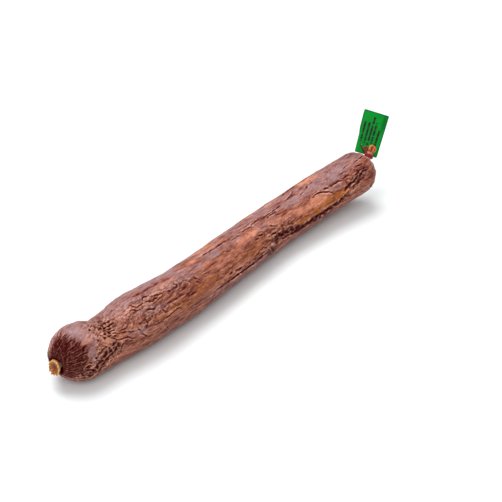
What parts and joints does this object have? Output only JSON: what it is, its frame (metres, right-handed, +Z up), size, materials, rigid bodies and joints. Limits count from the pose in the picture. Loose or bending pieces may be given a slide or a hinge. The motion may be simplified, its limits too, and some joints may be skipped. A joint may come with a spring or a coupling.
{
  "type": "cured pork loin",
  "caption": "Whole dry-cured pork loin in its wrinkled natural casing, tied at both ends, with a stiff tag on the far tie; lies on a flat surface.",
  "frame": {"origin": "middle of the part's footprint, on the surface it lies on", "axes": "+X along the loin from the blunt head with the rosette to the tied neck with the tag, +Z up"},
  "size_m": [0.6124, 0.0746, 0.1119],
  "materials": {
    "casing": "semi-gloss natural casing drawn tight over dark cured meat",
    "pale_twine": "matt cotton twine",
    "red_twine": "matt dyed cotton twine",
    "tag_plastic": "satin printed plastic sheet",
    "dark_thread": "matt thread"
  },
  "bodies": {
    "root": {"cured_loin": "casing", "near_tie": "pale_twine", "far_tie": "red_twine", "tag": "tag_plastic", "tag_thread": "dark_thread"}
  },
  "joints": []
}
